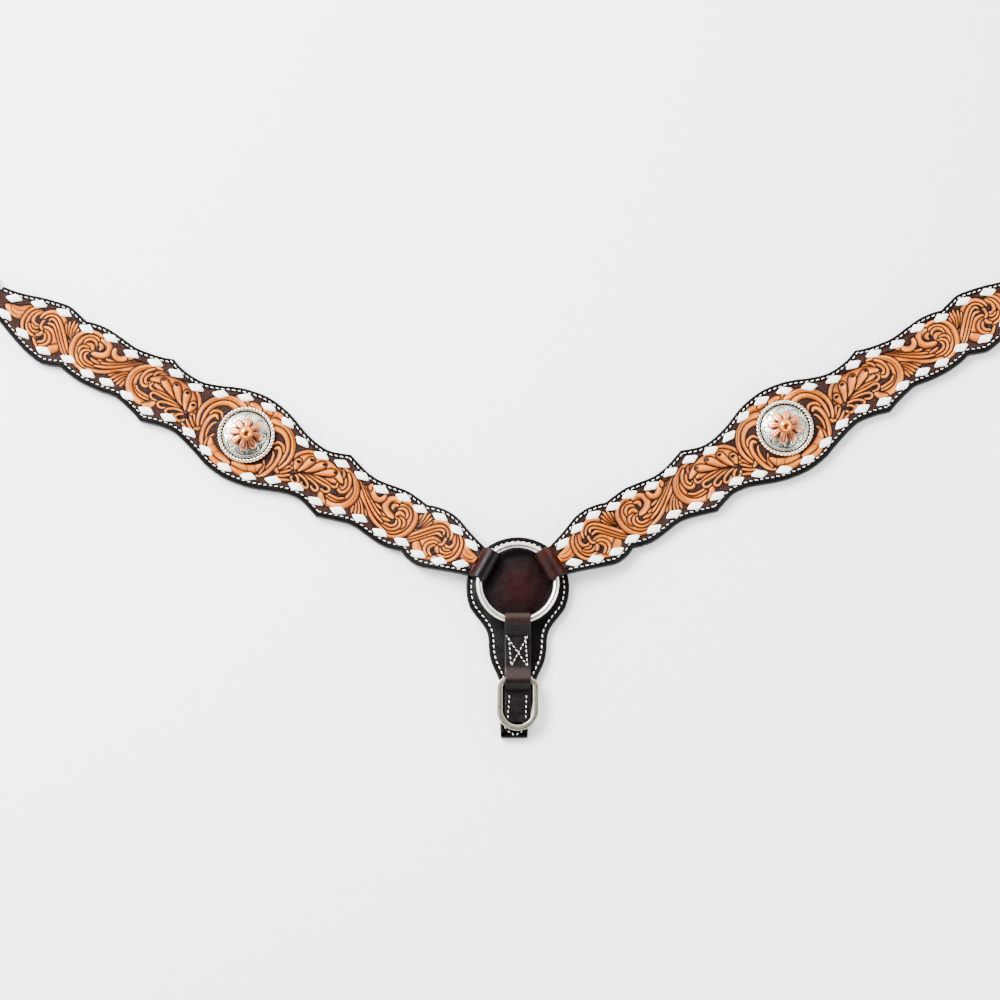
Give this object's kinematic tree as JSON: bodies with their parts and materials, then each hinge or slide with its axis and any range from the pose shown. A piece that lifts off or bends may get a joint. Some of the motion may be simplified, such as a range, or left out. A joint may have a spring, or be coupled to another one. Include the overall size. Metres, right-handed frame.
{
  "type": "western breast collar",
  "caption": "Carved-leather western breast collar: two laced and concho-set shoulders on a centre ring, a stitched drop with a dee, and end rings with buckled tug straps.",
  "frame": {"origin": "on the flat back of the safe, under the middle of the centre ring", "axes": "+X towards the right-hand shoulder as seen from the tooled face, +Y from the drop towards the neck, +Z out of the tooled faces"},
  "size_m": [1.0983, 0.438, 0.0196],
  "materials": {
    "tooled_leather": "carved and oiled, semi-gloss",
    "lining_leather": "matt",
    "safe_leather": "smooth, semi-gloss",
    "loop_leather": "smooth, semi-gloss",
    "tug_leather": "smooth",
    "lace": "smooth rawhide lace",
    "nickel": "polished nickel plate",
    "satin_nickel": "satin",
    "silver": "engraved, bright",
    "copper": "satin rose copper"
  },
  "bodies": {
    "drop": {"safe_lining": "lining_leather", "safe_top_ply": "safe_leather", "drop_strap": "safe_leather"},
    "centre_ring": {"centre_ring": "nickel"},
    "drop_dee": {"drop_dee": "satin_nickel"},
    "left_loop": {"left_ring_loop": "loop_leather"},
    "left_shoulder": {"left_tooled_ply": "tooled_leather", "left_lining_ply": "lining_leather", "left_upper_lace": "lace", "left_lower_lace": "lace", "left_outer_loop": "loop_leather", "left_concho_cap": "silver", "left_concho_rope_edge": "silver", "left_concho_flower": "copper", "left_concho_bead": "copper", "left_concho_post": "nickel", "left_concho_back_screw": "nickel"},
    "left_end_ring": {"left_end_ring": "nickel"},
    "left_tug": {"left_tug_strap": "tug_leather", "left_tug_keeper": "tug_leather"},
    "left_buckle": {"left_tug_buckle": "nickel"},
    "left_tongue": {"left_buckle_tongue": "nickel"},
    "right_loop": {"right_ring_loop": "loop_leather"},
    "right_shoulder": {"right_tooled_ply": "tooled_leather", "right_lining_ply": "lining_leather", "right_upper_lace": "lace", "right_lower_lace": "lace", "right_outer_loop": "loop_leather", "right_concho_cap": "silver", "right_concho_rope_edge": "silver", "right_concho_flower": "copper", "right_concho_bead": "copper", "right_concho_post": "nickel", "right_concho_back_screw": "nickel"},
    "right_end_ring": {"right_end_ring": "nickel"},
    "right_tug": {"right_tug_strap": "tug_leather", "right_tug_keeper": "tug_leather"},
    "right_buckle": {"right_tug_buckle": "nickel"},
    "right_tongue": {"right_buckle_tongue": "nickel"}
  },
  "joints": [
    {"name": "ring_tilt", "type": "hinge", "parent": "drop", "child": "centre_ring", "pos_m": [0, -0.0268, 0.0115], "axis": [1, 0, 0], "range_deg": [0, 75]},
    {"name": "dee_flap", "type": "hinge", "parent": "drop", "child": "drop_dee", "pos_m": [0, -0.0705, 0.00785], "axis": [-1, 0, 0], "range_deg": [0, 150]},
    {"name": "left_swing", "type": "hinge", "parent": "centre_ring", "child": "left_loop", "pos_m": [0, 0, 0.0115], "axis": [0, 0, 1], "range_deg": [-15, 15]},
    {"name": "left_flap", "type": "hinge", "parent": "left_loop", "child": "left_shoulder", "pos_m": [-0.03012, 0.01683, 0.0119], "axis": [0.4879, 0.8729, 0], "range_deg": [0, 60]},
    {"name": "left_end_ring_turn", "type": "hinge", "parent": "left_shoulder", "child": "left_end_ring", "pos_m": [-0.38566, 0.21554, 0.0047], "axis": [0.4879, 0.8729, 0], "range_deg": [0, 70]},
    {"name": "left_tug_turn", "type": "hinge", "parent": "left_end_ring", "child": "left_tug", "pos_m": [-0.40486, 0.22627, 0.0047], "axis": [0.4879, 0.8729, 0], "range_deg": [0, 55]},
    {"name": "left_buckle_turn", "type": "hinge", "parent": "left_tug", "child": "left_buckle", "pos_m": [-0.44344, 0.24783, 0.0069], "axis": [0.4879, 0.8729, 0], "range_deg": [0, 45]},
    {"name": "left_tongue_turn", "type": "hinge", "parent": "left_buckle", "child": "left_tongue", "pos_m": [-0.44344, 0.24783, 0.0069], "axis": [0.4879, 0.8729, 0], "range_deg": [0, 60]},
    {"name": "right_swing", "type": "hinge", "parent": "centre_ring", "child": "right_loop", "pos_m": [0, 0, 0.0115], "axis": [0, 0, 1], "range_deg": [-15, 15]},
    {"name": "right_flap", "type": "hinge", "parent": "right_loop", "child": "right_shoulder", "pos_m": [0.02967, 0.01761, 0.0119], "axis": [0.5105, -0.8599, 0], "range_deg": [0, 60]},
    {"name": "right_end_ring_turn", "type": "hinge", "parent": "right_shoulder", "child": "right_end_ring", "pos_m": [0.37988, 0.22556, 0.0047], "axis": [0.5105, -0.8599, 0], "range_deg": [0, 70]},
    {"name": "right_tug_turn", "type": "hinge", "parent": "right_end_ring", "child": "right_tug", "pos_m": [0.3988, 0.23679, 0.0047], "axis": [0.5105, -0.8599, 0], "range_deg": [0, 55]},
    {"name": "right_buckle_turn", "type": "hinge", "parent": "right_tug", "child": "right_buckle", "pos_m": [0.4368, 0.25936, 0.0069], "axis": [0.5105, -0.8599, 0], "range_deg": [0, 45]},
    {"name": "right_tongue_turn", "type": "hinge", "parent": "right_buckle", "child": "right_tongue", "pos_m": [0.4368, 0.25936, 0.0069], "axis": [0.5105, -0.8599, 0], "range_deg": [0, 60]}
  ]
}
